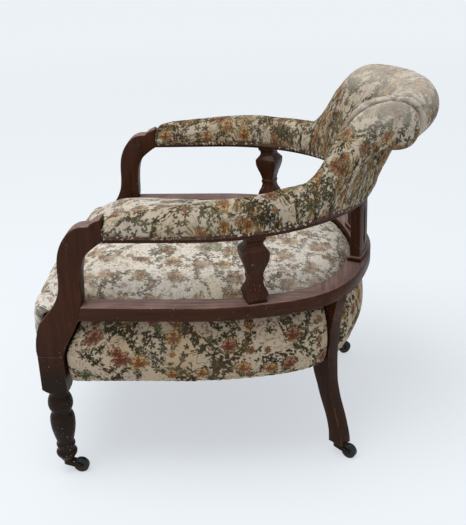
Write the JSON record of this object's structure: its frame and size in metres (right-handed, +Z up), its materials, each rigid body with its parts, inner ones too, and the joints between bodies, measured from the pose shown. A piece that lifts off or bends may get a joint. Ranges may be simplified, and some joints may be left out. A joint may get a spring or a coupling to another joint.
{
  "type": "low upholstered armchair",
  "caption": "Low round-backed armchair: show-wood horseshoe rails, turned front legs, open arms, padded seat and scroll-over back, on swivel castors.",
  "frame": {"origin": "middle of the chair's box, on the floor", "axes": "+Z up, front toward -Y, the sitter's left toward +X"},
  "size_m": [0.616, 0.7707, 0.707],
  "materials": {
    "show_wood": "dark red-brown polish, worn on the edges",
    "frame_wood": "bare beech, out of sight",
    "tapestry": "woven floral tapestry over stuffing",
    "jute": "coarse plain weave",
    "black_cloth": "thin black cotton",
    "steel": "bright drawn steel",
    "castor_metal": "dark tarnish",
    "castor_wheel": "worn black"
  },
  "bodies": {
    "root": {"front_leg_left": "show_wood", "front_leg_right": "show_wood", "rear_leg_left": "show_wood", "rear_leg_right": "show_wood", "arm_post_left": "show_wood", "arm_post_right": "show_wood", "seat_bow_left": "show_wood", "seat_bow_back": "show_wood", "seat_bow_right": "show_wood", "arm_rail_left": "show_wood", "arm_rail_back": "show_wood", "arm_rail_right": "show_wood", "baluster_left": "show_wood", "baluster_right": "show_wood", "back_splat": "show_wood", "back_staves": "frame_wood", "crest_hoop": "frame_wood", "frame_rail_front": "frame_wood", "frame_rail_left": "frame_wood", "frame_rail_right": "frame_wood", "frame_rail_back": "frame_wood", "corner_blocks": "frame_wood", "seat_webbing": "jute", "seat_springs": "steel", "spring_canvas": "jute", "dust_cover": "black_cloth", "seat_cushion": "tapestry", "seat_border_front": "tapestry", "seat_border_left": "tapestry", "seat_border_right": "tapestry", "seat_border_back": "tapestry", "arm_pad_left": "tapestry", "arm_pad_right": "tapestry", "back_pad": "tapestry", "dowels": "frame_wood", "leg_screws": "steel", "castor_plate_front_left": "castor_metal", "castor_plate_front_right": "castor_metal", "castor_plate_rear_left": "castor_metal", "castor_plate_rear_right": "castor_metal"},
    "castor_front_left": {"castor_horn_front_left": "castor_metal", "castor_axle_front_left": "steel"},
    "wheel_front_left": {"castor_wheel_front_left": "castor_wheel"},
    "castor_front_right": {"castor_horn_front_right": "castor_metal", "castor_axle_front_right": "steel"},
    "wheel_front_right": {"castor_wheel_front_right": "castor_wheel"},
    "castor_rear_left": {"castor_horn_rear_left": "castor_metal", "castor_axle_rear_left": "steel"},
    "wheel_rear_left": {"castor_wheel_rear_left": "castor_wheel"},
    "castor_rear_right": {"castor_horn_rear_right": "castor_metal", "castor_axle_rear_right": "steel"},
    "wheel_rear_right": {"castor_wheel_rear_right": "castor_wheel"}
  },
  "joints": [
    {"name": "swivel_front_left", "type": "hinge", "parent": "root", "child": "castor_front_left", "pos_m": [0.274, -0.3305, 0.031], "axis": [0, 0, 1], "continuous": true},
    {"name": "roll_front_left", "type": "hinge", "parent": "castor_front_left", "child": "wheel_front_left", "pos_m": [0.274, -0.304, 0.015], "axis": [1, 0, 0], "continuous": true},
    {"name": "swivel_front_right", "type": "hinge", "parent": "root", "child": "castor_front_right", "pos_m": [-0.274, -0.3305, 0.031], "axis": [0, 0, 1], "continuous": true},
    {"name": "roll_front_right", "type": "hinge", "parent": "castor_front_right", "child": "wheel_front_right", "pos_m": [-0.274, -0.304, 0.015], "axis": [1, 0, 0], "continuous": true},
    {"name": "swivel_rear_left", "type": "hinge", "parent": "root", "child": "castor_rear_left", "pos_m": [0.19721, 0.20038, 0.031], "axis": [0, 0, 1], "continuous": true},
    {"name": "roll_rear_left", "type": "hinge", "parent": "castor_rear_left", "child": "wheel_rear_left", "pos_m": [0.21046, 0.22333, 0.015], "axis": [0.866, -0.5, 0], "continuous": true},
    {"name": "swivel_rear_right", "type": "hinge", "parent": "root", "child": "castor_rear_right", "pos_m": [-0.19721, 0.20038, 0.031], "axis": [0, 0, 1], "continuous": true},
    {"name": "roll_rear_right", "type": "hinge", "parent": "castor_rear_right", "child": "wheel_rear_right", "pos_m": [-0.21046, 0.22333, 0.015], "axis": [0.866, 0.5, 0], "continuous": true}
  ]
}
